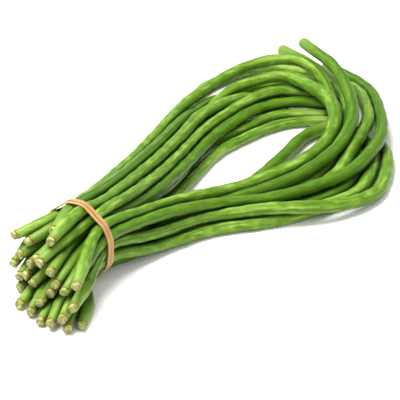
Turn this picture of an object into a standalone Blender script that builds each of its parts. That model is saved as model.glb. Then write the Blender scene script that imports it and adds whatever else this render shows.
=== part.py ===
"""Yardlong bean bunch: long pods folded in two, held near their stem ends by a doubled rubber band.

The bunch lies on the floor (z = 0). +X runs from the stem ends to the far bend, +Z is up.
Every pod starts in the fan of stem ends, goes through the band, then along the back arm or
the front arm of the loop and round the far bend. Routes are in millimetres, meshes in metres.
"""

import math

import bpy
import numpy as np

MM = 0.001

# Pod shape, in millimetres: radius along the length, from the stem stub to the blunt tip.
STUB_RADIUS = 2.4
SCAR_RADIUS = 3.1
NECK_RADIUS = 3.5
BAND_RADIUS = 3.75
BACK_BODY_RADIUS = 3.9
FRONT_BODY_RADIUS = 4.8
STUB_LENGTH = 4.0
SCAR_LENGTH = 1.2
NECK_LENGTH = 12.0
SHOULDER_AT = 27.0
SHOULDER_SWELL = 0.35
SHOULDER_LENGTH = 14.0
SWELL_START = 120.0
SWELL_END = 300.0
THINNING_START = 340.0
THINNING_END = 420.0
THIN_RADIUS = 3.9
TIP_TAPER = 70.0
TIP_RADIUS = 3.7
TIP_SHOULDER = 5.0
TIP_END_RADIUS = 1.9
SIZE_SWING = 0.075
SWING_STEP = 2.4
SWING_START = 0.7

NODE_SPACING = 19.0
TUBE_SIDE_STEPS = 2
CLEARANCE = 0.3
CORNER_ALLOWANCE = 0.12

# The band goes round the bunch about 50 mm from the stem ends, square to the pods there.
BAND_CENTRE = (-131.0, -23.0, 28.2)
BAND_HEADING = 14.0
SLOT_PITCH = 7.95
BAND_INNER_ACROSS = 24.9
BAND_INNER_UP = 28.0
BAND_WIDTH = 5.2
BAND_THICKNESS = 1.3
BAND_CREASE = 0.35
BAND_POINTS = 44
BAND_FINE_STEPS = 4
BAND_FLOOR_ROOM = 1.9
BAND_CORNER = 0.33
BAND_FACING_SHARE = 0.2

# Plain colours: the pods' green varies a little from one to the next.
POD_RED = 0.12
POD_GREEN = 0.30
POD_BLUE = 0.03
POD_COLOUR_SWING = 0.02
POD_ROUGHNESS = 0.42
RUBBER_COLOUR = (0.62, 0.36, 0.16)
RUBBER_ROUGHNESS = 0.6

RELAX_STEPS = 900
SETTLE_STEPS = 500
PULL_HOME = 0.012
SMOOTHING = 0.25
SETTLE_SMOOTHING = 0.03
SINK = 0.03
LENGTH_SHARE = 0.4
FREE_PUSH = 0.5
SETTLE_PUSH = 0.7
SEARCH_REACH = 2.2 * NODE_SPACING
SEARCH_EVERY = 10

# Each pod: its stem end, its place in the band (row up, place across), then its route points.
BACK_ARM = (
    ((-169, 3, 38), (2, 2), ((-95, 1, 42), (-40, 26, 33), (0, 45, 27), (50, 69, 20), (93, 88, 16),
     (126, 93, 17), (144, 84, 21), (155, 68, 25), (157, 48, 24), (151, 26, 17), (142, 8, 11))),
    ((-175, -5, 18), (1, 2.5), ((-95, 4, 30), (-45, 28, 24), (-2, 50, 20), (46, 73, 13),
     (70, 90, 7), (94, 105, 5), (114, 108, 5), (136, 108, 5), (160, 91, 5),
     (170, 68, 5), (165, 46, 5), (157, 26, 5))),
    ((-157, -28, 44), (3, 0.5), ((-100, -6, 46), (-48, 19, 36), (-9, 37, 30), (37, 61, 21),
     (67, 76, 9), (92, 81, 5), (116, 82, 5), (138, 74, 7), (152, 62, 11), (158, 45, 10),
     (155, 25, 9))),
    ((-169, -38, 40), (3.7, 0), ((-107, -18, 48), (-60, 4, 39), (-12, 28, 30), (24, 45, 25),
     (51, 57, 22), (75, 62, 19), (101, 64, 15), (119, 59, 10), (131, 48, 7))),
    ((-182, -45, 34), (2, -1), ((-110, -25, 44), (-55, -2, 33), (-8, 20, 24), (36, 45, 18),
     (58, 53, 17), (80, 58, 16), (106, 57, 18), (128, 47, 16), (139, 33, 12))),
    ((-176, -26, 32), (2, 0), ((-95, -20, 34), (-48, -2, 24), (-2, 20, 17), (22, 33, 13),
     (44, 43, 11), (66, 49, 11), (84, 52, 12), (105, 54, 12),
     (119, 49, 12), (130, 41, 12), (139, 31, 11), (147, 18, 9))),
    ((-181, -52, 34), (1, -0.5), ((-85, -12, 24), (-40, 3, 15), (-5, 19, 11), (20, 35, 5),
     (43, 47, 4), (62, 50, 4), (82, 48, 5), (101, 48, 5), (116, 45, 5), (127, 38, 4), (134, 32, 4),
     (142, 24, 4))),
    ((-179, -27, 14), (0, 0), ((-85, -10, 10), (-32, 6, 4), (-8, 17, 4), (13, 26, 4),
     (36, 35, 4), (56, 40, 4), (74, 40, 4), (93, 40, 4), (109, 37, 4), (122, 31, 4),
     (131, 24, 4), (138, 16, 4))),
    ((-169, -10, 36), (2, 1), ((-92, 0, 36), (-45, 24, 27), (-8, 42, 20), (30, 60, 13),
     (48, 68, 11))),
    ((-173, -6, 28), (1, 1.5), ((-90, 4, 22), (-45, 28, 14), (-10, 50, 6), (30, 71, 5),
     (58, 79, 5))),
    ((-176, -14, 12), (0, 2), ((-90, 2, 14), (-45, 24, 6), (-12, 43, 5), (36, 68, 5),
     (62, 74, 5), (84, 75, 5), (112, 72, 5), (134, 61, 5), (144, 45, 5))),
    ((-176, -12, 4), (-1, 1.5), ((-90, -5, 8), (-50, 14, 5), (-13, 35, 5), (38, 60, 5),
     (62, 66, 5), (84, 66, 5), (110, 63, 5), (130, 52, 5))),
    ((-192, -29, 4), (-2, 1), ((-92, -10, 5), (-50, 7, 5), (-13, 27, 5), (36, 53, 5),
     (62, 58, 5), (84, 57, 5))),
    ((-176, -21, 26), (1, 0.5), ((-90, -8, 26), (-45, 12, 17), (-10, 35, 14), (18, 49, 12))),
    ((-179, -21, 20), (0, 1), ((-88, -6, 16), (-45, 8, 10), (-12, 27, 12), (12, 39, 12))),
    ((-194, -43, 4), (-1, 0.5), ((-90, -14, 8), (-48, 3, 5), (-20, 20, 5), (2, 32, 5))),
)
FRONT_ARM = (
    ((-182, -76, 36), (2, -2), ((-80, -27, 32), (-35, -20, 21), (10, -23, 13), (38, -29, 15),
     (66, -30, 15), (96, -24, 16), (117, -10, 17), (130, 6, 18), (135, 24, 18), (134, 46, 17),
     (128, 65, 16), (106, 74, 15), (88, 75, 15), (72, 70, 12), (58, 63, 12), (44, 57, 12))),
    ((-182, -63, 26), (1, -2.5), ((-67, -33, 28), (-30, -33, 20), (1, -41, 14), (28, -51, 12),
     (60, -58, 12), (87, -58, 12), (114, -49, 13), (141, -31, 13), (168, 5, 12), (181, 30, 9),
     (186, 56, 6), (187, 78, 5))),
    ((-186, -76, 20), (0, -2), ((-75, -33, 17), (-30, -32, 11), (0, -48, 11), (28, -68, 11),
     (58, -79, 8), (88, -76, 5), (110, -60, 5), (127, -41, 5), (136, -20, 5))),
    ((-193, -74, 14), (-1, -2.5), ((-78, -34, 10), (-33, -34, 5), (-2, -49, 5), (16, -58, 5),
     (45, -66, 5), (76, -70, 5), (90, -65, 5), (104, -56, 5), (118, -43, 5), (131, -24, 5),
     (137, -3, 5))),
    ((-182, -51, 26), (1, -1.5), ((-78, -24, 22), (-33, -27, 13), (8, -32, 12), (37, -39, 13),
     (66, -40, 14), (97, -36, 16), (123, -24, 19), (136, -10, 23), (147, 8, 28), (157, 35, 34),
     (159, 57, 36), (161, 72, 37))),
    ((-183, -51, 20), (0, -1), ((-78, -20, 14), (-32, -18, 12), (6, -27, 5), (35, -36, 5),
     (65, -40, 5), (95, -33, 7), (120, -19, 11), (146, 8, 14), (157, 28, 14), (165, 53, 14),
     (170, 78, 14), (171, 106, 13))),
    ((-196, -65, 8), (-1, -1.5), ((-75, -28, 12), (-32, -23, 5), (5, -36, 5), (35, -48, 5),
     (65, -53, 5), (92, -47, 5), (118, -32, 8), (140, -20, 12), (155, -3, 13), (168, 17, 12),
     (175, 34, 9), (177, 50, 6))),
    ((-182, -77, 6), (-3, -0.5), ((-75, -24, 5), (-32, -29, 5), (3, -42, 5), (35, -55, 5),
     (69, -60, 6), (93, -49, 6), (110, -34, 5), (121, -16, 5), (125, 0, 5))),
    ((-190, -76, 4), (-2, -1), ((-75, -18, 5), (-35, -15, 4), (-16, -20, 4))),
    ((-197, -56, 4), (-2, 0), ((-75, -11, 5), (-45, -9, 4))),
    ((-189, -46, 12), (-1, -0.5), ((-75, -8, 10), (-35, -4, 5), (0, -12, 5), (25, -14, 5),
     (45, -10, 5), (77, 2, 5), (104, 14, 5), (119, 16, 5), (132, 15, 5))),
)


def band_axes():
    """The bunch's direction at the band, and the two directions across it."""
    turn = math.radians(BAND_HEADING)
    along = np.array([math.cos(turn), math.sin(turn), 0.0])
    across = np.array([-math.sin(turn), math.cos(turn), 0.0])
    return along, across, np.array([0.0, 0.0, 1.0])


def slot_point(row, place):
    """The point where a pod goes through the band; the pods stand in close-packed rows."""
    _, across, up = band_axes()
    rise = row * SLOT_PITCH * math.sqrt(3.0) / 2.0
    return np.array(BAND_CENTRE) + across * place * SLOT_PITCH + up * rise


def smooth_line(points, step=2.0):
    """Points every few millimetres on a smooth curve through the route points."""
    points = np.array(points, float)
    padded = np.vstack([2 * points[0] - points[1], points, 2 * points[-1] - points[-2]])
    dense = []
    for i in range(1, len(padded) - 2):
        a, b, c, d = padded[i - 1:i + 3]
        count = max(2, int(np.linalg.norm(c - b) / step))
        for t in np.arange(count) / count:
            dense.append(0.5 * (2 * b + (c - a) * t + (2 * a - 5 * b + 4 * c - d) * t * t
                                + (3 * b - a - 3 * c + d) * t ** 3))
    dense.append(padded[-2])
    return np.array(dense)


def evenly_spaced(line, spacing):
    """The same line with its points an equal distance apart."""
    run = np.concatenate([[0.0], np.cumsum(np.linalg.norm(np.diff(line, axis=0), axis=1))])
    count = int(round(run[-1] / spacing)) + 1
    places = np.linspace(0.0, run[-1], count)
    return np.stack([np.interp(places, run, line[:, k]) for k in range(3)], axis=1), places


def body_radius(distance, length, body):
    """Radius of a pod between its neck and the shoulder of its tip."""
    grow = np.clip((distance - SWELL_START) / (SWELL_END - SWELL_START), 0.0, 1.0)
    radius = BAND_RADIUS + (body - BAND_RADIUS) * grow * grow * (3 - 2 * grow)
    thin = np.clip((distance - THINNING_START) / (THINNING_END - THINNING_START), 0.0, 1.0)
    radius += (THIN_RADIUS - radius) * thin * thin * (3 - 2 * thin)
    radius += SHOULDER_SWELL * np.exp(-((distance - SHOULDER_AT) / SHOULDER_LENGTH) ** 2)
    fade = np.clip((length - distance) / TIP_TAPER, 0.0, 1.0)
    return TIP_RADIUS + (radius - TIP_RADIUS) * np.sqrt(fade)


def closest_on_segments(p1, q1, p2, q2):
    """For pairs of segments: how far along each of them their closest points lie."""
    d1 = q1 - p1
    d2 = q2 - p2
    r = p1 - p2
    a = np.einsum("ij,ij->i", d1, d1)
    e = np.einsum("ij,ij->i", d2, d2)
    f = np.einsum("ij,ij->i", d2, r)
    b = np.einsum("ij,ij->i", d1, d2)
    c = np.einsum("ij,ij->i", d1, r)
    denominator = a * e - b * b
    s = np.where(denominator > 1e-6 * a * e, (b * f - c * e) / np.maximum(denominator, 1e-9), 0.5)
    s = np.clip(s, 0.0, 1.0)
    t = np.clip((b * s + f) / e, 0.0, 1.0)
    s = np.clip((b * t - c) / a, 0.0, 1.0)
    return s, t


class Pods:
    """The middle lines of all the pods, moved apart until no two of them overlap."""

    def __init__(self, routes, body_radii):
        self.nodes = []
        self.radii = []
        self.first = [0]
        for number, (stem_end, slot, route) in enumerate(routes):
            points = [stem_end, slot_point(*slot)] + list(route)
            line, places = evenly_spaced(smooth_line(points), NODE_SPACING)
            swing = 1.0 + SIZE_SWING * math.sin(SWING_STEP * number + SWING_START)
            self.nodes.append(line)
            self.radii.append(body_radius(places, places[-1], swing * body_radii[number]))
            self.first.append(self.first[-1] + len(line))
        self.home = np.vstack(self.nodes)
        self.at = self.home.copy()
        self.radius = np.concatenate(self.radii)
        self.pod = np.concatenate([np.full(len(n), k) for k, n in enumerate(self.nodes)])
        joined = self.pod[:-1] == self.pod[1:]
        self.starts = np.nonzero(joined)[0]
        owner = self.pod[self.starts]
        one, two = np.triu_indices(len(self.starts), 1)
        apart = owner[one] != owner[two]
        self.one = one[apart]
        self.two = two[apart]
        self.near = (self.one, self.two)
        self.rest_length = np.linalg.norm(self.home[self.starts + 1] - self.home[self.starts],
                                          axis=1)

    def lines(self):
        return [(self.at[a:b], self.radius[a:b]) for a, b in zip(self.first, self.first[1:])]

    def find_near(self, reach):
        middle = 0.5 * (self.at[self.starts] + self.at[self.starts + 1])
        gap = np.linalg.norm(middle[self.one] - middle[self.two], axis=1)
        close = gap < reach
        self.near = (self.one[close], self.two[close])

    def push_apart(self, share):
        i = self.starts[self.near[0]]
        j = self.starts[self.near[1]]
        p1, q1, p2, q2 = self.at[i], self.at[i + 1], self.at[j], self.at[j + 1]
        s, t = closest_on_segments(p1, q1, p2, q2)
        one = p1 + (q1 - p1) * s[:, None]
        two = p2 + (q2 - p2) * t[:, None]
        between = one - two
        gap = np.linalg.norm(between, axis=1)
        r1 = self.radius[i] * (1 - s) + self.radius[i + 1] * s
        r2 = self.radius[j] * (1 - t) + self.radius[j + 1] * t
        wanted = r1 + r2 + CLEARANCE + CORNER_ALLOWANCE
        short = wanted - gap
        hit = short > 0
        if not hit.any():
            return
        i, j, s, t, short = i[hit], j[hit], s[hit], t[hit], short[hit]
        way = between[hit] / np.maximum(gap[hit], 1e-6)[:, None]
        way[gap[hit] < 1e-6] = (0.0, 0.0, 1.0)
        push = way * (share * short)[:, None]
        move = np.zeros_like(self.at)
        count = np.full(len(self.at), 1e-9)
        for index, weight, sign in ((i, 1 - s, 1), (i + 1, s, 1), (j, 1 - t, -1), (j + 1, t, -1)):
            np.add.at(move, index, sign * push * weight[:, None])
            np.add.at(count, index, weight)
        self.at += move / np.maximum(count, 1.0)[:, None]

    def hold_in_band(self):
        """Keeps the pods inside the ring where the band is, and above its thickness there."""
        along, across, up = band_axes()
        i = self.starts
        p = self.at[i]
        q = self.at[i + 1]
        before = (p - np.array(BAND_CENTRE)) @ along
        after = (q - np.array(BAND_CENTRE)) @ along
        crosses = (before <= 0) & (after > 0)
        i = i[crosses]
        share = (before / (before - after))[crosses]
        point = p[crosses] + (q - p)[crosses] * share[:, None]
        radius = self.radius[i] * (1 - share) + self.radius[i + 1] * share
        off = point - np.array(BAND_CENTRE)
        off -= np.outer(off @ along, along)
        room = np.stack([BAND_INNER_ACROSS - radius, BAND_INNER_UP - radius], axis=1)
        spread = np.stack([off @ across, off @ up], axis=1)
        far = np.linalg.norm(spread / room, axis=1)
        pull = -off * np.maximum(1 - 1 / np.maximum(far, 1e-6), 0.0)[:, None]
        low = np.maximum(radius + BAND_FLOOR_ROOM - (point + pull)[:, 2], 0.0)
        pull[:, 2] += low
        self.at[i] += pull
        self.at[i + 1] += pull

    def keep_lengths(self):
        i = self.starts
        reach = self.at[i + 1] - self.at[i]
        length = np.linalg.norm(reach, axis=1)
        change = reach * (0.5 * (1 - self.rest_length / length))[:, None]
        move = np.zeros_like(self.at)
        np.add.at(move, i, change)
        np.add.at(move, i + 1, -change)
        self.at += LENGTH_SHARE * move

    def even_out(self, amount):
        """Spreads each push along its pod, so that the pod bends and doesn't kink."""
        moved = self.at - self.home
        inner = np.nonzero((self.pod[:-2] == self.pod[1:-1]) & (self.pod[1:-1] == self.pod[2:]))[0]
        inner = inner + 1
        mean = 0.5 * (moved[inner - 1] + moved[inner + 1])
        self.at[inner] += amount * (mean - moved[inner])

    def floor(self):
        self.at[:, 2] = np.maximum(self.at[:, 2], self.radius)

    def relax(self):
        for step in range(RELAX_STEPS + SETTLE_STEPS):
            if step % SEARCH_EVERY == 0:
                self.find_near(SEARCH_REACH)
            free = step < RELAX_STEPS
            if free:
                self.at += PULL_HOME * (self.home - self.at)
                self.at[:, 2] -= SINK
                self.even_out(SMOOTHING)
                self.keep_lengths()
            elif step < RELAX_STEPS + SETTLE_STEPS // 2:
                self.even_out(SETTLE_SMOOTHING)
            self.push_apart(FREE_PUSH if free else SETTLE_PUSH)
            self.hold_in_band()
            self.floor()


def pod_profile(line, radii):
    """The pod's points with their radii: the stub, the scar and the neck, then the body, the tip."""
    first = line[1] - line[0]
    first = first / np.linalg.norm(first)
    last = line[-1] - line[-2]
    last = last / np.linalg.norm(last)
    points = [line[0], line[0] + first * STUB_LENGTH,
              line[0] + first * (STUB_LENGTH + SCAR_LENGTH), line[0] + first * NECK_LENGTH]
    sizes = [STUB_RADIUS, STUB_RADIUS, SCAR_RADIUS, NECK_RADIUS]
    points += list(line[1:-1])
    sizes += list(radii[1:-1])
    points += [line[-1] - last * TIP_SHOULDER, line[-1]]
    sizes += [radii[-1], TIP_END_RADIUS]
    return points, sizes


def material(name, colour, roughness):
    """A plain material for one named piece."""
    made = bpy.data.materials.new(name)
    made.use_nodes = True
    shader = made.node_tree.nodes["Principled BSDF"]
    shader.inputs["Base Color"].default_value = (*colour, 1.0)
    shader.inputs["Roughness"].default_value = roughness
    shader.inputs["Metallic"].default_value = 0.0
    return made


def tube_curve(name, points, sizes, shift):
    """A poly curve with a round bevel and filled ends; sizes are its radii in millimetres."""
    curve = bpy.data.curves.new(name, "CURVE")
    curve.dimensions = "3D"
    curve.bevel_depth = MM
    curve.bevel_resolution = TUBE_SIDE_STEPS
    curve.use_fill_caps = True
    curve.twist_mode = "MINIMUM"
    spline = curve.splines.new("POLY")
    spline.points.add(len(points) - 1)
    for point, place, size in zip(spline.points, points, sizes):
        point.co = (*((place + shift) * MM), 1.0)
        point.radius = size
    spline.use_smooth = True
    return curve


def reach_at_band(lines, offset):
    """The circles that the pods cut in a plane square to the bunch, near the band's middle."""
    along, across, up = band_axes()
    middle = np.array(BAND_CENTRE) + along * offset
    circles = []
    for line, radii in lines:
        before = (line - middle) @ along
        for i in np.nonzero((before[:-1] <= 0) & (before[1:] > 0))[0]:
            share = before[i] / (before[i] - before[i + 1])
            point = line[i] + (line[i + 1] - line[i]) * share - middle
            tilt = abs((line[i + 1] - line[i]) @ along) / np.linalg.norm(line[i + 1] - line[i])
            radius = radii[i] + (radii[i + 1] - radii[i]) * share
            circles.append((point @ across, point @ up, radius / tilt))
    return np.array(circles)


def band_line(lines):
    """The middle line of the band: a tight loop round the pods, with a hair of room."""
    along, across, up = band_axes()
    fine = BAND_POINTS * BAND_FINE_STEPS
    angles = np.arange(fine) * (2 * math.pi / fine)
    reach = np.zeros(len(angles))
    for offset in (-BAND_WIDTH / 2, 0.0, BAND_WIDTH / 2):
        circles = reach_at_band(lines, offset)
        facing = np.outer(circles[:, 0], np.cos(angles)) + np.outer(circles[:, 1], np.sin(angles))
        reach = np.maximum(reach, (facing + circles[:, 2:3]).max(axis=0))
    loop = []
    for angle in angles[::BAND_FINE_STEPS]:
        lean = np.cos(angles - angle)
        ahead = lean > BAND_FACING_SHARE
        hull = (reach[ahead] / lean[ahead]).min()
        size = hull + CLEARANCE + 0.5 * BAND_THICKNESS + CORNER_ALLOWANCE
        loop.append(np.array(BAND_CENTRE)
                    + size * (across * math.cos(angle) + up * math.sin(angle)))
    return loop


def band_section(name):
    """The doubled band's section: two flat runs side by side with a crease between them."""
    half_width = 0.5 * BAND_WIDTH
    half_height = 0.5 * BAND_THICKNESS
    corner = BAND_CORNER
    outline = ((-half_width, corner - half_height), (corner - half_width, -half_height),
               (half_width - corner, -half_height), (half_width, corner - half_height),
               (half_width, half_height - corner), (half_width - corner, half_height),
               (BAND_CREASE, half_height), (0.0, half_height - BAND_CREASE),
               (-BAND_CREASE, half_height), (corner - half_width, half_height),
               (-half_width, half_height - corner))
    curve = bpy.data.curves.new(name, "CURVE")
    curve.dimensions = "2D"
    curve.fill_mode = "NONE"
    spline = curve.splines.new("POLY")
    spline.points.add(len(outline) - 1)
    for point, (x, y) in zip(spline.points, outline):
        point.co = (x * MM, -y * MM, 0.0, 1.0)
    spline.use_cyclic_u = True
    return curve


def band_curve(name, loop, section, shift):
    curve = bpy.data.curves.new(name, "CURVE")
    curve.dimensions = "3D"
    curve.bevel_mode = "OBJECT"
    curve.bevel_object = section
    curve.twist_mode = "MINIMUM"
    spline = curve.splines.new("POLY")
    spline.points.add(len(loop) - 1)
    for point, place in zip(spline.points, loop):
        point.co = (*((place + shift) * MM), 1.0)
    spline.use_cyclic_u = True
    spline.use_smooth = True
    return curve


def clear_scene():
    for thing in list(bpy.data.objects):
        bpy.data.objects.remove(thing, do_unlink=True)


def collection(name, helper=False):
    made = bpy.data.collections.new(name)
    made.hide_render = helper
    bpy.context.scene.collection.children.link(made)
    return made


def add_object(name, data, home, surface=None):
    thing = bpy.data.objects.new(name, data)
    if surface is not None:
        data.materials.append(surface)
    home.objects.link(thing)
    return thing


def centring_shift(lines, loop):
    """What puts the bunch's box in the middle of X and Y, with its lowest point on the floor."""
    low = np.min([(line - radii[:, None]).min(axis=0) for line, radii in lines], axis=0)
    high = np.max([(line + radii[:, None]).max(axis=0) for line, radii in lines], axis=0)
    floor = min(low[2], min(point[2] for point in loop) - 0.5 * BAND_THICKNESS)
    return np.array([-0.5 * (low[0] + high[0]), -0.5 * (low[1] + high[1]), -floor])


def build():
    clear_scene()
    bunch = collection("yardlong_bean_bunch")
    guides = collection("guides", helper=True)
    body_radii = [BACK_BODY_RADIUS] * len(BACK_ARM) + [FRONT_BODY_RADIUS] * len(FRONT_ARM)
    pods = Pods(BACK_ARM + FRONT_ARM, body_radii)
    pods.relax()
    lines = pods.lines()
    loop = band_line(lines)
    shift = centring_shift(lines, loop)
    for number, (line, radii) in enumerate(lines):
        if number < len(BACK_ARM):
            name = f"pod_back_{number + 1:02d}"
        else:
            name = f"pod_front_{number + 1 - len(BACK_ARM):02d}"
        red = POD_RED + POD_COLOUR_SWING * math.cos(number)
        green = POD_GREEN + POD_COLOUR_SWING * math.sin(2.0 * number)
        surface = material(name + "_skin", (red, green, POD_BLUE), POD_ROUGHNESS)
        points, sizes = pod_profile(line, radii)
        add_object(name, tube_curve(name, points, sizes, shift), bunch, surface)
    section = add_object("band_section", band_section("band_section"), guides)
    section.hide_render = True
    section.display_type = "WIRE"
    rubber = material("rubber_band_rubber", RUBBER_COLOUR, RUBBER_ROUGHNESS)
    add_object("rubber_band", band_curve("rubber_band", loop, section, shift), bunch, rubber)


build()
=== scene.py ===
"""Yardlong bean bunch: finished pods with their stem ends, held by a doubled rubber band.

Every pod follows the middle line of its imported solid, so the bunch lies as the frame lies.
Shapes are worked out in millimetres and turned into the scene's metres with MM. Distances along
a pod are counted from its stem end.
"""

import math

import bmesh
import bpy
import numpy as np
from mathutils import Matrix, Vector


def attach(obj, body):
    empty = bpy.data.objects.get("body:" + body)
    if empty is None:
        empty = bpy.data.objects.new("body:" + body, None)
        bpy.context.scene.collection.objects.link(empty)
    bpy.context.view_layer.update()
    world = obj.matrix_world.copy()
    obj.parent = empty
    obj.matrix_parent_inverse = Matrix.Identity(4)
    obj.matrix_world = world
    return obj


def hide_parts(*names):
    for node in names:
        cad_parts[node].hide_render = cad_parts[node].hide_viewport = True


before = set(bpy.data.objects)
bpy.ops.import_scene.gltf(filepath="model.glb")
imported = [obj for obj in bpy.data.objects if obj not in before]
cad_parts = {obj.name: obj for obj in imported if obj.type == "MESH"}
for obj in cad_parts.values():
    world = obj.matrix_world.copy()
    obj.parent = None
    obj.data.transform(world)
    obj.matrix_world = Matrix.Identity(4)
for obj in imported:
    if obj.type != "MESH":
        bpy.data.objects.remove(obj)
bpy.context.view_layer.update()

MM = 0.001
UP = np.array([0.0, 0.0, 1.0])

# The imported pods: plain tubes with so many sides, and so many rings on the stub at the stem.
WELD = 0.01 * MM
RING_SIDES = 8
NECK_RINGS = 3

# Steps along a pod's middle line, in millimetres.
FINE_STEP = 0.5
LINE_STEP = 2.5

# Moving the lines apart where pods would touch: rounds, the share of an overlap taken away in
# one, how near two points have to be to count, and the room left, in millimetres.
SETTLE_ROUNDS = 60
SETTLE_SHARE = 0.45
SETTLE_REACH = 11.0
PAIRS_RENEWED_AFTER = 15
PAIRS_AT_ONCE = 500
TOUCH_ROOM = 0.05
FLOOR_ROOM = 0.35

# Painted shade between pods: the skin is darkened where neighbouring pods close in.
# How far off a neighbour still darkens a pod, in millimetres, and how much one point of it does.
SHADE_REACH = 13.0
SHADE_SHARE = 0.42

# One pod's cross-section: angles round it in degrees, closer together at its two seams.
# Depths are in millimetres and widths in degrees; the seams turn slowly along the pod.
HALF_ROUND = (0, 8, 20, 38, 59, 80, 100, 121, 142, 160, 172)
SEAMS = ((0.0, 1.0), (180.0, 0.6))
SEAM_DEPTH = 0.30
SEAM_WIDTH = 7.0
SEAM_RIM = 0.10
SEAM_RIM_AT = 19.0
SEAM_RIM_WIDTH = 11.0
SEAM_TURN = 0.0035
SEAM_MARK_WIDTH = 9.0
SEAM_MARK_WEAKER = 4.0

# The plump part between the stem end and the band: where it is, how far it reaches to each side,
# and what it adds to the radius, in millimetres.
PLUMP_AT = 25.0
PLUMP_REACH = 15.0
PLUMP_SWELL = 0.80

# Swellings over the seeds and uneven growth, in millimetres.
SEED_SPACING = 17.0
SEED_SPACING_SWING = 2.0
SEED_SWELL = 0.12
UNEVEN_SWELL = 0.17
UNEVEN_WAVES = (7.3, 4.1, 11.7)

# Slightly oval and three-cornered growth: its share of the radius, and how slowly it turns.
FLAT_SHARE = 0.022
THREE_CORNERED = 0.7
OVAL_TURN = 60.0
CORNERS_TURN = 45.0

# Each pod starts its waves, seams and cut elsewhere: radians from one pod to the next.
WAVE_START = 1.7
SEAM_START = 2.4
CUT_START = 3.1
TONE_START = 2.1

# The stem end: (distance from the cut, radius, depth of the scallops), in millimetres. The cut
# slants, and the knob behind it isn't quite round.
STEM_END = (
    (0.35, 1.00, 0.0), (0.20, 1.95, 0.1), (0.05, 2.60, 0.2), (0.30, 3.05, 0.3),
    (1.10, 3.28, 0.3), (2.20, 3.24, 0.2), (3.00, 3.08, 0.3), (3.45, 3.14, 0.8),
    (3.70, 3.48, 1.3), (4.10, 3.72, 1.4), (4.70, 3.62, 1.0), (5.60, 3.54, 0.4),
    (7.00, 3.66, 0.1), (9.00, 3.86, 0.0), (12.0, 4.06, 0.0),
)
KNOB_RINGS = 7
KNOB_UNEVEN = 0.05
KNOB_LENGTH = 4.0
CUT_SLANT = 0.22
SLANT_LENGTH = 3.0
SCALLOP_OUT = 0.12
SCALLOP_BACK = 0.45

# The body and its blunt tip, in millimetres.
BODY_START = 14.0
BODY_EASE = 12.0
RING_STEP = 2.0
TIP_LENGTH = 3.6
TIP_POWER = 3.0
TIP_RINGS = 8
TIP_OPEN_SHARE = 0.35
END_DOT = 0.1

# The pods' own coordinates: the size of the cross-section, and the distance between pods.
OWN_RADIUS = 4.0
OWN_SPACING = 700.0

# The doubled rubber band: two runs side by side, in millimetres. Each slides and tilts a little.
BAND_RUN_WIDTH = 3.3
BAND_RUN_THICKNESS = 1.35
BAND_SLIDES = (0.16, 0.1)
BAND_TILT = 0.10
BAND_STARTS = (0.4, 2.2)
BAND_POINTS = 180
BAND_SIDES = 16
BAND_EDGE_POWER = 0.75
BAND_FACE_POWER = 0.8
BAND_SMOOTHINGS = 4
BAND_ANGLE_SLACK = 0.04

# Where pods push out under the band, it goes over them with this room, eased over so many points.
BAND_ROOM = 0.2
BAND_SIDE_ROOM = 0.4
BAND_EASE = 5

# Where the camera stands: it looks down on the bunch from the side of the stem ends.
CAMERA_AZIMUTH = -42.0
CAMERA_ELEVATION = 30.0
CAMERA_TARGET = (5.13 * MM, -12.24 * MM, 0.0)
CAMERA_LENS = 1300.0
CAMERA_DISTANCE = 9.967
SENSOR = 36.0
NEAREST_SEEN = 0.01

# Lights, in metres from the camera's target: right, ahead and up. Then size, power and colour.
HIGH_LEFT_LIGHT = ((-0.36, 0.02, 1.15), 0.90, 31.0, (1.0, 0.985, 0.96))
FRONT_FILL = ((0.3, -1.0, 0.9), 1.0, 4.0, (1.0, 1.0, 1.0))
SURROUND_STRENGTH = 0.72
FLOOR_HALF_SIZE = 4.0

# How much each pattern counts in how light the skin is, and the swing from pod to pod.
STREAK_WEIGHT = 0.50
BLOTCH_WEIGHT = 0.28
DAB_WEIGHT = 0.46
LIGHTNESS_DROP = 0.08
TONE_SWING = (-0.10, 0.08)

# Where marks begin and end, in metres from the stem end, from the tip or from the middle line.
PALE_STEM = (0.004, 0.030)
PALE_TIP = (0.0, 0.026)
COLLAR = (0.0050, 0.0064)
ROOT = (0.0030, 0.0042)
CUT_FACE = (0.0003, 0.0012)
CUT_RING = (0.0019, 0.0025)
RAGGED_SCALE = 700.0
RAGGED_COLLAR = 3.2 * MM
RAGGED_ROOT = 1.6 * MM

# Colours of the pods' skin.
DEEP_GREEN = (0.034, 0.102, 0.002, 1.0)
MIDDLE_GREEN = (0.066, 0.164, 0.004, 1.0)
BRIGHT_GREEN = (0.225, 0.378, 0.056, 1.0)
SEAM_GREEN = (0.018, 0.065, 0.002, 1.0)
THREAD_GREEN = (0.030, 0.095, 0.002, 1.0)
PALE_STEM_GREEN = (0.215, 0.345, 0.060, 1.0)
PALE_TIP_GREEN = (0.240, 0.370, 0.070, 1.0)
# The next colour is painted shade, laid where neighbouring pods close in.
SHADED_GREEN = (0.009, 0.048, 0.001, 1.0)
COLLAR_BROWN = (0.170, 0.088, 0.022, 1.0)

# Colours of the cut stem.
KNOB_GREEN = (0.170, 0.250, 0.030, 1.0)
KNOB_STRAW = (0.420, 0.450, 0.150, 1.0)
CUT_RING_BROWN = (0.210, 0.130, 0.030, 1.0)
BROWNED = (0.200, 0.130, 0.034, 1.0)
# The next colour is painted shade on the stem, laid where neighbouring pods close in.
SHADED_KNOB = (0.050, 0.060, 0.008, 1.0)
ROOT_BROWN = (0.140, 0.068, 0.018, 1.0)

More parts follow.
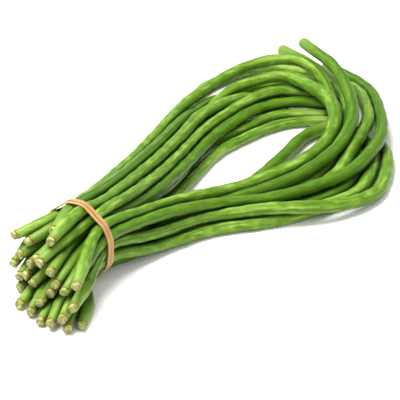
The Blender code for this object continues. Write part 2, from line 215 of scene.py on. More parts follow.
# Colours of the rubber, and of the floor.
RUBBER_DARK = (0.340, 0.170, 0.052, 1.0)
RUBBER_LIGHT = (0.480, 0.290, 0.115, 1.0)
RUBBER_BLOTCH = (0.400, 0.185, 0.060, 1.0)
# The next colour is painted shade in the crease where the band's two runs meet.
PAINTED_CREASE_SHADE = (0.120, 0.040, 0.010, 1.0)
FOLD_BROWN = (0.200, 0.080, 0.020, 1.0)
FLOOR_GREY = (0.88, 0.88, 0.885, 1.0)
FLOOR_WHITE = (0.90, 0.90, 0.90, 1.0)
SKIN_SPECULAR_TINT = (1.0, 1.0, 0.45, 1.0)


# ---------------------------------------------------------------- middle lines of the pods

def ring_layers(start):
    """Vertices in layers along a tube: the starting ones, all next to them, and so on."""
    layers = [set(start)]
    seen = set(start)
    while layers[-1]:
        beside = {edge.other_vert(v) for v in layers[-1] for edge in v.link_edges} - seen
        seen |= beside
        layers.append(beside)
    return layers[:-1]


def packed_rings(node):
    """The middle and the radius of each ring of a packed pod, in millimetres, stem end first."""
    tube = bmesh.new()
    tube.from_mesh(node.data)
    bmesh.ops.remove_doubles(tube, verts=tube.verts, dist=WELD)
    one_end = ring_layers([next(iter(tube.verts))])[-1]
    far_end = ring_layers([next(iter(one_end))])[-1]
    rings = ring_layers(far_end)
    if any(len(ring) != RING_SIDES for ring in rings):
        raise ValueError(f"{node.name} isn't a plain tube: {[len(r) for r in rings]}")
    middles = []
    radii = []
    for ring in rings:
        corners = np.array([v.co for v in ring]) / MM
        middles.append(corners.mean(axis=0))
        radii.append(np.linalg.norm(corners - middles[-1], axis=1).mean())
    tube.free()
    if middles[0][0] > middles[-1][0]:
        middles.reverse()
        radii.reverse()
    return np.array(middles), np.array(radii)


def run_along(points):
    """Distance along a line at each of its points."""
    return np.concatenate([[0.0], np.cumsum(np.linalg.norm(np.diff(points, axis=0), axis=1))])


def smooth_curve(points, step):
    """Points about a step apart on the smoothest curve through the given ones."""
    at = run_along(points)
    gap = np.diff(at)
    count = len(points)
    sums = np.eye(count)
    wanted = np.zeros((count, 3))
    for i in range(1, count - 1):
        sums[i, i - 1:i + 2] = gap[i - 1], 2 * (gap[i - 1] + gap[i]), gap[i]
        wanted[i] = 6 * ((points[i + 1] - points[i]) / gap[i]
                         - (points[i] - points[i - 1]) / gap[i - 1])
    bend = np.linalg.solve(sums, wanted)
    places = np.linspace(0.0, at[-1], int(at[-1] / FINE_STEP))
    k = np.clip(np.searchsorted(at, places, side="right") - 1, 0, count - 2)
    before = (places - at[k])[:, None]
    after = (at[k + 1] - places)[:, None]
    width = gap[k][:, None]
    line = ((bend[k] * after ** 3 + bend[k + 1] * before ** 3) / (6 * width)
            + (points[k] / width - bend[k] * width / 6) * after
            + (points[k + 1] / width - bend[k + 1] * width / 6) * before)
    return evenly_spaced(line, step)


def evenly_spaced(line, step):
    """The same line with its points about a step apart."""
    at = run_along(line)
    places = np.linspace(0.0, at[-1], int(round(at[-1] / step)) + 1)
    return np.stack([np.interp(places, at, line[:, k]) for k in range(3)], axis=1)


class Pod:
    """One pod's middle line and radius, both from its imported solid."""

    def __init__(self, node, number):
        self.node = node
        self.number = number
        middles, radii = packed_rings(node)
        kept = [0] + list(range(NECK_RINGS, len(middles) - 2)) + [len(middles) - 1]
        self.line = smooth_curve(middles[kept], LINE_STEP)
        at = run_along(middles)
        share = np.linspace(0.0, at[-1], len(self.line))
        self.radius = np.interp(share, at[NECK_RINGS:-2], radii[NECK_RINGS:-2])
        self.radius += PLUMP_SWELL * np.exp(-((share - PLUMP_AT) / PLUMP_REACH) ** 2)

    def length(self):
        return run_along(self.line)[-1]


def settle(pods):
    """Moves the smooth lines apart wherever rounding a bend has pushed one pod into another."""
    first = np.cumsum([0] + [len(pod.line) for pod in pods])
    at = np.vstack([pod.line for pod in pods])
    radius = np.concatenate([pod.radius for pod in pods])
    owner = np.concatenate([np.full(len(pod.line), k) for k, pod in enumerate(pods)])
    home = at.copy()
    inner = np.nonzero((owner[:-2] == owner[1:-1]) & (owner[1:-1] == owner[2:]))[0] + 1
    for turn in range(SETTLE_ROUNDS):
        if turn % PAIRS_RENEWED_AFTER == 0:
            one, two = near_pairs(at, owner)
        between = at[one] - at[two]
        gap = np.linalg.norm(between, axis=1)
        short = radius[one] + radius[two] + TOUCH_ROOM - gap
        hit = short > 0
        push = between[hit] * (0.5 * SETTLE_SHARE * short[hit] / gap[hit])[:, None]
        move = np.zeros_like(at)
        count = np.ones(len(at))
        np.add.at(move, one[hit], push)
        np.add.at(move, two[hit], -push)
        np.add.at(count, one[hit], 0.5)
        np.add.at(count, two[hit], 0.5)
        at += move / count[:, None]
        for _ in range(2):
            moved = at - home
            at[inner] += 0.5 * (0.5 * (moved[inner - 1] + moved[inner + 1]) - moved[inner])
        at[:, 2] = np.maximum(at[:, 2], radius + FLOOR_ROOM)
    for pod, a, b in zip(pods, first, first[1:]):
        pod.line = at[a:b]


def near_pairs(at, owner):
    """Pairs of points on different pods that are near enough to touch."""
    found = []
    for start in range(0, len(at), PAIRS_AT_ONCE):
        gap = np.linalg.norm(at[start:start + PAIRS_AT_ONCE, None] - at[None], axis=2)
        i, j = np.nonzero(gap < SETTLE_REACH)
        found.append(np.stack([i + start, j]))
    one, two = np.concatenate(found, axis=1)
    kept = (one < two) & (owner[one] != owner[two])
    return one[kept], two[kept]


# ------------------------------------------------------------------------ the pods' shape

def unit(vectors):
    return vectors / np.linalg.norm(vectors, axis=-1, keepdims=True)


def carried_frame(line):
    """Forward, sideways and outward directions along a line, without any needless turn."""
    forward = unit(np.gradient(line, axis=0))
    side = [unit(np.cross(forward[0], UP))]
    for ahead in forward[1:]:
        side.append(unit(side[-1] - ahead * (side[-1] @ ahead)))
    side = np.array(side)
    return forward, side, np.cross(forward, side)


def along(values, places, at):
    """Three-part values at new places along a line."""
    return np.stack([np.interp(places, at, values[:, k]) for k in range(3)], axis=1)


def seam_shape(angles):
    """How far the skin stands in or out round the pod: a groove with soft rims at each seam."""
    shape = np.zeros(len(angles))
    for seam, strength in SEAMS:
        off = np.abs((angles - seam + 180.0) % 360.0 - 180.0)
        shape -= strength * SEAM_DEPTH * np.exp(-(off / SEAM_WIDTH) ** 2)
        shape += strength * SEAM_RIM * np.exp(-((off - SEAM_RIM_AT) / SEAM_RIM_WIDTH) ** 2)
    return shape


def pod_rings(pod):
    """Distance, radius, scallop depth and body share for every ring, from the cut to the tip."""
    length = pod.length()
    rings = [(at, radius, scallop, 0.0) for at, radius, scallop in STEM_END]
    fine = np.arange(BODY_START, length - TIP_LENGTH, RING_STEP)
    at = np.linspace(0.0, length, len(pod.line))
    blend = np.clip((fine - BODY_START) / BODY_EASE, 0.0, 1.0)
    rings += list(zip(fine, np.interp(fine, at, pod.radius), np.zeros(len(fine)), blend))
    end = np.interp(length - TIP_LENGTH, at, pod.radius)
    for k in range(1, TIP_RINGS + 1):
        u = math.sin(0.5 * math.pi * k / (TIP_RINGS + TIP_OPEN_SHARE))
        size = end * (1.0 - u ** TIP_POWER) ** (1.0 / TIP_POWER)
        rings.append((length - TIP_LENGTH + TIP_LENGTH * u, size, 0.0, 1.0 - u))
    return np.array(rings)


def painted_crevice_shade(points, outs, middle, number, around):
    """How far the neighbours of one pod close in on each point of its skin, from 0 to 1: how much
    painted shade it gets there.
    """
    at, radius, owner = around
    at = at[owner != number]
    radius = radius[owner != number]
    found = np.zeros(points.shape[:2])
    for k, place in enumerate(middle):
        near = np.linalg.norm(at - place, axis=1) < SHADE_REACH
        if not near.any():
            continue
        towards = at[near][None] - points[k][:, None]
        gap = np.linalg.norm(towards, axis=2)
        facing = np.clip(np.einsum("ijk,ik->ij", towards, outs[k]) / gap, 0.0, 1.0)
        share = np.clip(radius[near][None] / gap, 0.0, 1.0) ** 2
        found[k] = 1.0 - np.prod(1.0 - SHADE_SHARE * facing * share, axis=1)
    return found


def pod_points(pod, rings, angles):
    """Skin points, ring by ring, with the way out at each, and the middle line under them."""
    places, radii, scallops, body = rings.T
    number = pod.number
    at = np.linspace(0.0, pod.length(), len(pod.line))
    forward, side, outward = carried_frame(pod.line)
    middle = along(pod.line, places, at)
    forward = unit(along(forward, places, at))
    side = unit(along(side, places, at))
    outward = unit(along(outward, places, at))
    seam = seam_shape(angles)
    turn = np.radians(angles)[None] + SEAM_START * number + SEAM_TURN * places[:, None]
    phase = WAVE_START * number
    theta = np.radians(angles)[None]
    s = places[:, None]
    spacing = SEED_SPACING + SEED_SPACING_SWING * math.sin(number)
    seeds = np.cos(2 * math.pi * s / spacing + phase)
    middling, short, long = UNEVEN_WAVES
    uneven = (np.sin(s / middling + phase + theta) + np.sin(s / short - 2 * phase - 2 * theta)
              + np.sin(s / long + 3 * phase + theta))
    size = radii[:, None] + body[:, None] * (
        seam[None] + SEED_SWELL * seeds + UNEVEN_SWELL / 2 * uneven)
    flats = (np.cos(2 * theta + phase + s / OVAL_TURN)
             + THREE_CORNERED * np.cos(3 * theta - phase + s / CORNERS_TURN))
    size = size * (1.0 + FLAT_SHARE * flats)
    blunt = np.clip(1.0 - s / KNOB_LENGTH, 0.0, 1.0)
    size = size * (1.0 + KNOB_UNEVEN * blunt * (np.cos(3 * theta + 2.0 * phase)
                                                + 0.8 * np.cos(2 * theta - phase)))
    lobes = np.sin(5 * theta + phase) + 0.6 * np.sin(3 * theta + 2.3 * phase)
    size = size + SCALLOP_OUT * scallops[:, None] * lobes
    shift = -SCALLOP_BACK * scallops[:, None] * lobes
    near_cut = np.clip(1.0 - s / SLANT_LENGTH, 0.0, 1.0)
    slant = CUT_SLANT * np.cos(theta + CUT_START * number) * near_cut
    shift = shift + slant * size
    outs = (side[:, None] * np.cos(turn)[..., None]
            + outward[:, None] * np.sin(turn)[..., None])
    points = middle[:, None] + forward[:, None] * shift[..., None] + size[..., None] * outs
    return points, outs, middle, forward


def pod_mesh(pod, around):
    """The pod's skin as rings of faces, with its own coordinates for the finish."""
    rings = pod_rings(pod)
    places, radii, _, body = rings.T
    number = pod.number
    half = np.array(HALF_ROUND, float)
    angles = np.concatenate([half, half + 180.0])
    points, outs, middle, forward = pod_points(pod, rings, angles)
    # Painted shade where neighbouring pods close in, kept for the finish.
    painted_shade = painted_crevice_shade(points, outs, middle, number, around)
    sides = len(angles)
    vertices = [tuple(p) for p in points.reshape(-1, 3) * MM]
    faces = []
    kinds = []
    for k in range(len(rings) - 1):
        for j in range(sides):
            a = k * sides + j
            b = k * sides + (j + 1) % sides
            faces.append((a, b, b + sides, a + sides))
            kinds.append(1 if k < KNOB_RINGS - 1 else 0)
    cut = len(vertices)
    vertices.append(tuple((middle[0] + forward[0] * END_DOT) * MM))
    tip = len(vertices)
    vertices.append(tuple((middle[-1] + forward[-1] * END_DOT) * MM))
    last = (len(rings) - 1) * sides
    for j in range(sides):
        faces.append(((j + 1) % sides, j, cut))
        kinds.append(1)
        faces.append((last + j, last + (j + 1) % sides, tip))
        kinds.append(0)
    mesh = bpy.data.meshes.new(pod.node.name.replace("pod", "bean"))
    mesh.from_pydata(vertices, [], faces)
    mesh.polygons.foreach_set("material_index", kinds)
    mesh.polygons.foreach_set("use_smooth", [True] * len(faces))
    ring_at = np.repeat(places, sides)
    round_at = np.tile(np.radians(angles), len(places))
    across = OWN_RADIUS * np.minimum(1.0, np.repeat(radii, sides) / OWN_RADIUS)
    start = OWN_SPACING * number
    own = np.stack([across * np.cos(round_at), across * np.sin(round_at), ring_at + start],
                   axis=1)
    ends = np.array([[0.0, 0.0, start], [0.0, 0.0, places[-1] + start]])
    add_values(mesh, "pod_space", np.vstack([own, ends]) * MM, "FLOAT_VECTOR")
    off = np.minimum(angles, 360.0 - angles)
    off = np.minimum(off, np.abs(angles - 180.0) + SEAM_MARK_WEAKER)
    near_seam = np.exp(-(off / SEAM_MARK_WIDTH) ** 2)
    seam_mark = np.concatenate([np.tile(near_seam, len(places)) * np.repeat(body, sides), [0, 0]])
    add_values(mesh, "seam", seam_mark, "FLOAT")
    add_values(mesh, "from_stem", np.concatenate([ring_at, [0.0, places[-1]]]) * MM, "FLOAT")
    add_values(mesh, "from_tip",
               np.concatenate([places[-1] - ring_at, [places[-1], 0.0]]) * MM, "FLOAT")
    tone = 0.5 + 0.5 * math.sin(TONE_START * number + 0.4)
    add_values(mesh, "tone", np.full(len(vertices), tone), "FLOAT")
    add_values(mesh, "painted_shade", np.concatenate([painted_shade.ravel(), [0.0, 0.0]]), "FLOAT")
    axis = np.concatenate([np.repeat(radii, sides), [0.0, 0.0]]) * MM
    add_values(mesh, "from_axis", axis, "FLOAT")
    mesh.validate()
    return mesh


def add_values(mesh, name, values, kind):
    """Stores one value for each vertex, for the finish to read."""
    layer = mesh.attributes.new(name, kind, "POINT")
    key = "vector" if kind == "FLOAT_VECTOR" else "value"
    layer.data.foreach_set(key, np.asarray(values, np.float32).ravel())


def add_piece(name, mesh, materials, node):
    """Puts a finished piece in the scene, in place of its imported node."""
    piece = bpy.data.objects.new(name, mesh)
    for surface in materials:
        mesh.materials.append(surface)
    bpy.context.scene.collection.objects.link(piece)
    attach(piece, "root")
    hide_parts(node)


# ------------------------------------------------------------------------------ the band

def band_loop(node):
    """The band's middle, its three directions, and its inner and outer reach round it."""
    points = np.array([v.co for v in node.data.vertices]) / MM
    middle = 0.5 * (points.min(axis=0) + points.max(axis=0))
    spread = np.linalg.eigh(np.cov((points - points.mean(axis=0)).T))[1]
    axis = spread[:, 0] * np.sign(spread[0, 0])
    up = unit(UP - axis * (UP @ axis))
    across = np.cross(up, axis)
    off = points - middle
    flat = off - np.outer(off @ axis, axis)
    angle = np.arctan2(flat @ up, flat @ across) % (2 * math.pi)
    reach = np.linalg.norm(flat, axis=1)
    places = np.unique(np.round(angle, 2))
    inner = []
    outer = []
    for place in places:
        off_place = np.abs((angle - place + math.pi) % (2 * math.pi) - math.pi)
        at = off_place < BAND_ANGLE_SLACK
        inner.append(reach[at].min())
        outer.append(reach[at].max())
    return middle, axis, across, up, places, np.array(inner), np.array(outer)


def bunch_reach(middle, axis, across, up, angles, offset, around):
    """How far out the pods come under one run of the band, at each angle round it."""
    at, radius, _ = around
    off = at - middle
    under = np.abs(off @ axis - offset) < 0.5 * BAND_RUN_WIDTH + BAND_SIDE_ROOM
    x = off[under] @ across
    y = off[under] @ up
    far = np.hypot(x, y)
    turn = angles[:, None] - np.arctan2(y, x)[None]
    ahead = far * np.cos(turn)
    spare = radius[under] ** 2 - (far * np.sin(turn)) ** 2
    reach = np.where((spare > 0.0) & (ahead > 0.0), ahead + np.sqrt(np.maximum(spare, 0.0)), 0.0)
    return reach.max(axis=1)


def band_run(node, offset, wobble_phase, around):
    """One run of the doubled band: a flat rubber strip with soft edges round the bunch."""
    middle, axis, across, up, places, inner, outer = band_loop(node)
    angles = np.arange(BAND_POINTS) * 2 * math.pi / BAND_POINTS
    inside = np.interp(angles, places, inner, period=2 * math.pi)
    outside = np.interp(angles, places, outer, period=2 * math.pi)
    reach = 0.5 * (inside + outside)
    for _ in range(BAND_SMOOTHINGS):
        reach = 0.25 * np.roll(reach, 1) + 0.5 * reach + 0.25 * np.roll(reach, -1)
    pods_reach = bunch_reach(middle, axis, across, up, angles, offset, around)
    lift = pods_reach + 0.5 * BAND_RUN_THICKNESS + BAND_ROOM - reach
    lift = np.maximum(lift, 0.0)
    spread = range(-BAND_EASE, BAND_EASE + 1)
    lift = np.max([np.roll(lift, k) for k in spread], axis=0)
    lift = np.mean([np.roll(lift, k) for k in spread], axis=0)
    reach = reach + lift
    slow, quick = BAND_SLIDES
    slide = offset + slow * np.sin(3 * angles + wobble_phase) + quick * np.sin(7 * angles)
    outward_tilt = BAND_TILT if offset > 0 else -BAND_TILT
    tilt = BAND_TILT * np.sin(2 * angles + wobble_phase) + outward_tilt
    line = middle + np.outer(reach * np.cos(angles), across) + np.outer(
        reach * np.sin(angles), up) + np.outer(slide, axis)
    forward = unit(np.roll(line, -1, axis=0) - np.roll(line, 1, axis=0))
    out = unit(np.cross(forward, axis))
    out *= np.sign(np.einsum("ij,ij->i", out, line - middle))[:, None]
    half_width = 0.5 * BAND_RUN_WIDTH
    half_thickness = 0.5 * BAND_RUN_THICKNESS
    section = []
    for k in range(BAND_SIDES):
        angle = 2 * math.pi * k / BAND_SIDES
        wide = math.cos(angle)
        thick = math.sin(angle)
        section.append((half_width * math.copysign(abs(wide) ** BAND_EDGE_POWER, wide),
                        half_thickness * math.copysign(abs(thick) ** BAND_FACE_POWER, thick)))
    section = np.array(section)
    points = []
    for k in range(BAND_POINTS):
        cosine = math.cos(tilt[k])
        sine = math.sin(tilt[k])
        wide = axis * cosine + out[k] * sine
        thick = out[k] * cosine - axis * sine
        points.append(line[k] + np.outer(section[:, 0], wide) + np.outer(section[:, 1], thick))
    points = np.array(points)
    sides = len(section)
    faces = []
    for k in range(BAND_POINTS):
        here = k * sides
        next_on = (k + 1) % BAND_POINTS * sides
        for j in range(sides):
            beside = (j + 1) % sides
            faces.append((here + j, next_on + j, next_on + beside, here + beside))
    run = np.arange(BAND_POINTS) * (2 * math.pi * reach.mean() / BAND_POINTS)
    own = np.stack([np.tile(section[:, 0], BAND_POINTS) + offset,
                    np.tile(section[:, 1], BAND_POINTS), np.repeat(run, sides)], axis=1)
    return points.reshape(-1, 3) * MM, faces, own * MM


def band_mesh(node, around):
    """Both runs of the band as one mesh."""
    vertices = []
    faces = []
    own = []
    for offset, phase in zip((-0.5 * BAND_RUN_WIDTH, 0.5 * BAND_RUN_WIDTH), BAND_STARTS):
        points, quads, space = band_run(node, offset, phase, around)
        start = len(vertices)
        vertices += [tuple(p) for p in points]
        faces += [tuple(start + i for i in quad) for quad in quads]
        own.append(space)
    mesh = bpy.data.meshes.new("doubled_rubber_band")
    mesh.from_pydata(vertices, [], faces)
    mesh.polygons.foreach_set("use_smooth", [True] * len(faces))
    add_values(mesh, "band_space", np.vstack(own), "FLOAT_VECTOR")
    turn = bmesh.new()
    turn.from_mesh(mesh)
    bmesh.ops.recalc_face_normals(turn, faces=turn.faces)
    turn.to_mesh(mesh)
    turn.free()
    return mesh


# ----------------------------------------------------------------------------- materials

class Nodes:
    """Short calls for laying out one shader tree."""

    def __init__(self, tree):
        self.tree = tree

    def add(self, kind, **settings):
        node = self.tree.nodes.new(kind)
        for key, value in settings.items():
            setattr(node, key, value)
        return node

    def join(self, source, target):
        self.tree.links.new(source, target)

    def put(self, value, socket):
        """Joins a socket, or sets a plain value."""
        if isinstance(value, bpy.types.NodeSocket):
            self.tree.links.new(value, socket)
        else:
            socket.default_value = value

    def attribute(self, name, output="Fac"):
        return self.add("ShaderNodeAttribute", attribute_name=name).outputs[output]

    def math(self, operation, a, b=0.0, clamp=False):
        node = self.add("ShaderNodeMath", operation=operation, use_clamp=clamp)
        self.put(a, node.inputs[0])
        self.put(b, node.inputs[1])
        return node.outputs[0]

    def fade(self, value, low, high, to_low=0.0, to_high=1.0):
        """Maps low..high to to_low..to_high, smoothly and without going past either."""
        node = self.add("ShaderNodeMapRange", interpolation_type="SMOOTHSTEP", clamp=True)
        self.put(value, node.inputs["Value"])
        for key, number in (("From Min", low), ("From Max", high),
                            ("To Min", to_low), ("To Max", to_high)):
            node.inputs[key].default_value = number
        return node.outputs["Result"]

    def blend(self, amount, a, b, mode="MIX"):
        node = self.add("ShaderNodeMix", data_type="RGBA", blend_type=mode, clamp_factor=True)
        self.put(amount, node.inputs["Factor"])
        self.put(a, node.inputs[6])
        self.put(b, node.inputs[7])
        return node.outputs[2]

    def noise(self, vector, scale, detail=3.0, roughness=0.5):
        node = self.add("ShaderNodeTexNoise")
        self.put(vector, node.inputs["Vector"])
        node.inputs["Scale"].default_value = scale
        node.inputs["Detail"].default_value = detail
        node.inputs["Roughness"].default_value = roughness
        return node.outputs["Fac"]

    def bump(self, height, strength, distance):
        node = self.add("ShaderNodeBump")
        self.put(height, node.inputs["Height"])
        node.inputs["Strength"].default_value = strength
        node.inputs["Distance"].default_value = distance
        return node.outputs["Normal"]


def new_group(name, inputs, outputs):
    """An empty shader group with named sockets; inputs are (name, kind, starting value)."""
    tree = bpy.data.node_groups.new(name, "ShaderNodeTree")
    for label, kind, start in inputs:
        socket = tree.interface.new_socket(label, in_out="INPUT", socket_type=kind)
        if start is not None:
            socket.default_value = start
    for label, kind in outputs:
        tree.interface.new_socket(label, in_out="OUTPUT", socket_type=kind)
    nodes = Nodes(tree)
    return tree, nodes, nodes.add("NodeGroupInput"), nodes.add("NodeGroupOutput")


def streaks_group():
    """Long thin streaks that run lengthwise, in a surface's own coordinates."""
    tree, nodes, given, made = new_group(
        "lengthwise streaks",
        (("Place", "NodeSocketVector", None), ("Across Scale", "NodeSocketFloat", 420.0),
         ("Lengthwise Scale", "NodeSocketFloat", 30.0)),
        (("Streaks", "NodeSocketFloat"), ("Fine Streaks", "NodeSocketFloat")))
    stretch = nodes.add("ShaderNodeCombineXYZ")
    nodes.join(given.outputs["Across Scale"], stretch.inputs[0])
    nodes.join(given.outputs["Across Scale"], stretch.inputs[1])
    nodes.join(given.outputs["Lengthwise Scale"], stretch.inputs[2])
    place = nodes.add("ShaderNodeVectorMath", operation="MULTIPLY")
    nodes.join(given.outputs["Place"], place.inputs[0])
    nodes.join(stretch.outputs[0], place.inputs[1])
    nodes.join(nodes.noise(place.outputs[0], 1.0, 3.0), made.inputs["Streaks"])
    nodes.join(nodes.noise(place.outputs[0], 3.1, 2.0), made.inputs["Fine Streaks"])
    return tree


def mottle_group():
    """Soft blotches and fine grain."""
    tree, nodes, given, made = new_group(
        "mottle",
        (("Place", "NodeSocketVector", None), ("Blotch Scale", "NodeSocketFloat", 90.0),
         ("Grain Scale", "NodeSocketFloat", 1500.0)),
        (("Blotches", "NodeSocketFloat"), ("Grain", "NodeSocketFloat")))
    for scale, output in (("Blotch Scale", "Blotches"), ("Grain Scale", "Grain")):
        noise = nodes.add("ShaderNodeTexNoise")
        nodes.join(given.outputs["Place"], noise.inputs["Vector"])
        nodes.join(given.outputs[scale], noise.inputs["Scale"])
        noise.inputs["Detail"].default_value = 3.0
        nodes.join(noise.outputs["Fac"], made.inputs[output])
    return tree


def place_group(nodes, tree, **inputs):
    node = nodes.add("ShaderNodeGroup")
    node.node_tree = tree
    for label, value in inputs.items():
        nodes.put(value, node.inputs[label.replace("_", " ")])
    return node.outputs


def new_material(name):
    made = bpy.data.materials.new(name)
    made.use_nodes = True
    shader = made.node_tree.nodes["Principled BSDF"]
    return made, Nodes(made.node_tree), shader


def bean_skin(streaks, mottle):
    """Satin green skin: lengthwise streaks, soft blotches, darker seams, a brown collar, and
    painted shade where neighbouring pods close in.
    """
    made, nodes, shader = new_material("bean_skin")
    place = nodes.attribute("pod_space", "Vector")
    lines = place_group(nodes, streaks, Place=place, Across_Scale=380.0, Lengthwise_Scale=26.0)
    spots = place_group(nodes, mottle, Place=place, Blotch_Scale=85.0, Grain_Scale=1400.0)
    tone = nodes.attribute("tone")
    dabs = place_group(nodes, streaks, Place=place, Across_Scale=520.0, Lengthwise_Scale=125.0)
    amount = nodes.math("ADD", nodes.math("MULTIPLY", lines["Streaks"], STREAK_WEIGHT),
                        nodes.math("MULTIPLY", spots["Blotches"], BLOTCH_WEIGHT))
    amount = nodes.math("ADD", amount, nodes.math("MULTIPLY", dabs["Streaks"], DAB_WEIGHT))
    amount = nodes.math("SUBTRACT", amount, LIGHTNESS_DROP)
    amount = nodes.math("ADD", amount, nodes.fade(tone, 0.0, 1.0, *TONE_SWING))
    colour = nodes.blend(nodes.fade(amount, 0.30, 0.55), DEEP_GREEN, MIDDLE_GREEN)
    colour = nodes.blend(nodes.fade(amount, 0.52, 0.80), colour, BRIGHT_GREEN)
    seam = nodes.math("MULTIPLY", nodes.attribute("seam"),
                      nodes.fade(lines["Streaks"], 0.35, 0.6, 0.4, 1.0))
    colour = nodes.blend(nodes.math("MULTIPLY", seam, 0.80), colour, SEAM_GREEN)
    thread = nodes.math("MULTIPLY", nodes.fade(lines["Fine Streaks"], 0.54, 0.64), 0.34)
    colour = nodes.blend(thread, colour, THREAD_GREEN)
    from_stem = nodes.attribute("from_stem")
    pale = nodes.fade(from_stem, *PALE_STEM, 0.45, 0.0)
    colour = nodes.blend(pale, colour, PALE_STEM_GREEN)
    paler_tip = nodes.fade(nodes.attribute("from_tip"), *PALE_TIP, 0.40, 0.0)
    colour = nodes.blend(paler_tip, colour, PALE_TIP_GREEN)
    # Painted shade: deep green laid where neighbouring pods close in.
    shade = nodes.fade(nodes.attribute("painted_shade"), 0.08, 0.66, 0.0, 0.90)
    colour = nodes.blend(shade, colour, SHADED_GREEN)
    ragged = nodes.math("MULTIPLY", nodes.noise(place, RAGGED_SCALE), RAGGED_COLLAR)
    collar = nodes.fade(nodes.math("ADD", from_stem, ragged), *COLLAR, 0.80, 0.0)
    colour = nodes.blend(collar, colour, COLLAR_BROWN)
    nodes.join(colour, shader.inputs["Base Color"])
    nodes.join(nodes.fade(spots["Blotches"], 0.3, 0.7, 0.40, 0.54), shader.inputs["Roughness"])
    height = nodes.math("ADD", nodes.math("MULTIPLY", lines["Fine Streaks"], 0.6),
                        nodes.math("MULTIPLY", spots["Grain"], 0.25))
    height = nodes.math("ADD", height, dabs["Streaks"])
    nodes.join(nodes.bump(height, 0.40, 0.5 * MM), shader.inputs["Normal"])
    shader.inputs["Specular IOR Level"].default_value = 0.40
    shader.inputs["Specular Tint"].default_value = SKIN_SPECULAR_TINT
    return made


def stem_knob(mottle):
    """The cut stem stub: pale yellow-green, a browned rim, a darker ring on the cut face, and
    painted shade where neighbouring pods close in.
    """
    made, nodes, shader = new_material("stem_knob")
    place = nodes.attribute("pod_space", "Vector")
    spots = place_group(nodes, mottle, Place=place, Blotch_Scale=420.0, Grain_Scale=2600.0)
    from_stem = nodes.attribute("from_stem")
    from_axis = nodes.attribute("from_axis")
    colour = nodes.blend(nodes.fade(spots["Blotches"], 0.35, 0.65), KNOB_GREEN, KNOB_STRAW)
    worn = nodes.fade(nodes.noise(place, 520.0), 0.42, 0.60)
    ring = nodes.math("MULTIPLY", nodes.fade(from_axis, *CUT_RING),
                      nodes.fade(from_stem, *CUT_FACE, 1.0, 0.0))
    colour = nodes.blend(nodes.math("MULTIPLY", ring, worn), colour, CUT_RING_BROWN)
    browned = nodes.math("MULTIPLY", nodes.fade(nodes.noise(place, 330.0), 0.44, 0.62),
                         nodes.fade(nodes.attribute("tone"), 0.0, 1.0, 0.25, 0.85))
    colour = nodes.blend(browned, colour, BROWNED)
    ragged = nodes.math("MULTIPLY", nodes.noise(place, RAGGED_SCALE), RAGGED_ROOT)
    # Painted shade: the knob is darkened where neighbouring pods close in.
    shade = nodes.fade(nodes.attribute("painted_shade"), 0.15, 0.75, 0.0, 0.75)
    colour = nodes.blend(shade, colour, SHADED_KNOB)
    root = nodes.fade(nodes.math("ADD", from_stem, ragged), *ROOT, 0.0, 0.85)
    colour = nodes.blend(root, colour, ROOT_BROWN)
    nodes.join(colour, shader.inputs["Base Color"])
    nodes.join(nodes.fade(spots["Grain"], 0.3, 0.7, 0.5, 0.7), shader.inputs["Roughness"])
    nodes.join(nodes.bump(spots["Blotches"], 0.4, 0.3 * MM), shader.inputs["Normal"])
    return made


def band_rubber(streaks, mottle):
    """Tan rubber: soft, nearly matt, with faint stretch lines, a dusty bloom, and painted shade in
    the crease where the two runs meet.
    """
    made, nodes, shader = new_material("band_rubber")
    place = nodes.attribute("band_space", "Vector")
    lines = place_group(nodes, streaks, Place=place, Across_Scale=1200.0, Lengthwise_Scale=90.0)
    spots = place_group(nodes, mottle, Place=place, Blotch_Scale=160.0, Grain_Scale=3000.0)
    colour = nodes.blend(nodes.fade(lines["Streaks"], 0.3, 0.7), RUBBER_DARK, RUBBER_LIGHT)
    colour = nodes.blend(nodes.fade(spots["Blotches"], 0.4, 0.75, 0.0, 0.4), colour,
                         RUBBER_BLOTCH)
    across = nodes.add("ShaderNodeSeparateXYZ")
    nodes.join(place, across.inputs[0])
    off_middle = nodes.math("ABSOLUTE", across.outputs[0])
    # Painted shade: darker along the crease where the two runs of the band meet.
    crease_shade = nodes.fade(off_middle, 0.10 * MM, 0.80 * MM, 1.0, 0.0)
    colour = nodes.blend(nodes.math("MULTIPLY", crease_shade, 0.85), colour, PAINTED_CREASE_SHADE)
    off_run = nodes.math("ABSOLUTE", nodes.math("SUBTRACT", off_middle, 0.5 * BAND_RUN_WIDTH * MM))
    fold = nodes.math("MULTIPLY", nodes.fade(off_run, 0.05 * MM, 0.40 * MM, 1.0, 0.0),
                      nodes.fade(lines["Streaks"], 0.40, 0.55))
    colour = nodes.blend(nodes.math("MULTIPLY", fold, 0.55), colour, FOLD_BROWN)
    nodes.join(colour, shader.inputs["Base Color"])
    nodes.join(nodes.fade(spots["Grain"], 0.3, 0.7, 0.48, 0.62), shader.inputs["Roughness"])
    height = nodes.math("ADD", nodes.math("MULTIPLY", lines["Fine Streaks"], 0.5),
                        nodes.math("MULTIPLY", spots["Grain"], 0.3))
    nodes.join(nodes.bump(height, 0.3, 0.2 * MM), shader.inputs["Normal"])
    return made


def floor_finish(mottle):
    """A nearly white floor with a trace of grey."""
    made, nodes, shader = new_material("pale_floor")
    place = nodes.add("ShaderNodeTexCoord").outputs["Object"]
    spots = place_group(nodes, mottle, Place=place, Blotch_Scale=3.0, Grain_Scale=60.0)
    colour = nodes.blend(nodes.fade(spots["Blotches"], 0.3, 0.7), FLOOR_GREY, FLOOR_WHITE)
    nodes.join(colour, shader.inputs["Base Color"])
    shader.inputs["Roughness"].default_value = 0.6
    return made


# ------------------------------------------------------------------ floor, light and camera

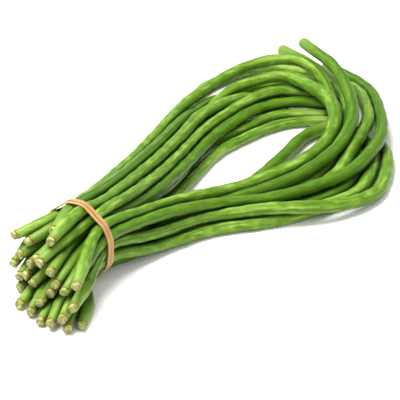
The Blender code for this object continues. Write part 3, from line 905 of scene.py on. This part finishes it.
def add_floor(finish):
    size = FLOOR_HALF_SIZE
    mesh = bpy.data.meshes.new("studio_floor")
    mesh.from_pydata([(-size, -size, 0), (size, -size, 0), (size, size, 0), (-size, size, 0)],
                     [], [(0, 1, 2, 3)])
    mesh.materials.append(finish)
    floor = bpy.data.objects.new("studio_floor", mesh)
    bpy.context.scene.collection.objects.link(floor)


def view_axes():
    """The camera's right direction, and the level direction in which it looks."""
    turn = math.radians(CAMERA_AZIMUTH)
    return (np.array([math.cos(turn), math.sin(turn), 0.0]),
            np.array([-math.sin(turn), math.cos(turn), 0.0]))


def add_light(name, place, size, power, colour):
    """A round area light, placed from the camera's target and turned to it."""
    right, ahead = view_axes()
    place = np.array(CAMERA_TARGET) + place[0] * right + place[1] * ahead + place[2] * UP
    lamp = bpy.data.lights.new(name, "AREA")
    lamp.shape = "DISK"
    lamp.size = size
    lamp.energy = power
    lamp.color = colour
    thing = bpy.data.objects.new(name, lamp)
    thing.location = place
    thing.rotation_euler = (Vector(CAMERA_TARGET) - Vector(place)).to_track_quat(
        "-Z", "Y").to_euler()
    bpy.context.scene.collection.objects.link(thing)


def add_lights():
    """A wide soft light high above the bunch's left, a weak one in front, and a pale surround."""
    add_light("high_left_light", *HIGH_LEFT_LIGHT)
    add_light("front_fill", *FRONT_FILL)
    world = bpy.data.worlds.new("even_surround")
    world.use_nodes = True
    background = world.node_tree.nodes["Background"]
    background.inputs["Color"].default_value = (1.0, 1.0, 1.0, 1.0)
    background.inputs["Strength"].default_value = SURROUND_STRENGTH
    bpy.context.scene.world = world


def add_camera():
    right, ahead = view_axes()
    tilt = math.radians(CAMERA_ELEVATION)
    away = -ahead * math.cos(tilt) + UP * math.sin(tilt)
    lens = bpy.data.cameras.new("studio_camera")
    lens.lens = CAMERA_LENS
    lens.sensor_width = SENSOR
    lens.clip_start = NEAREST_SEEN
    camera = bpy.data.objects.new("studio_camera", lens)
    camera.location = Vector(np.array(CAMERA_TARGET) + away * CAMERA_DISTANCE)
    camera.rotation_euler = (-Vector(away)).to_track_quat("-Z", "Y").to_euler()
    bpy.context.scene.collection.objects.link(camera)
    bpy.context.scene.camera = camera


# ------------------------------------------------------------------------------- the bunch

streaks = streaks_group()
mottle = mottle_group()
skin = bean_skin(streaks, mottle)
knob = stem_knob(mottle)
rubber = band_rubber(streaks, mottle)

pod_names = sorted(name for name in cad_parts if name.startswith("pod_"))
pods = [Pod(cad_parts[name], number) for number, name in enumerate(pod_names)]
settle(pods)
around = (np.vstack([pod.line for pod in pods]),
          np.concatenate([pod.radius for pod in pods]),
          np.concatenate([np.full(len(pod.line), pod.number) for pod in pods]))
for pod in pods:
    name = pod.node.name
    add_piece(name.replace("pod", "bean"), pod_mesh(pod, around), [skin, knob], name)
add_piece("doubled_rubber_band", band_mesh(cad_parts["rubber_band"], around), [rubber],
          "rubber_band")

add_floor(floor_finish(mottle))
add_lights()
add_camera()
bpy.context.scene.view_settings.view_transform = "Standard"
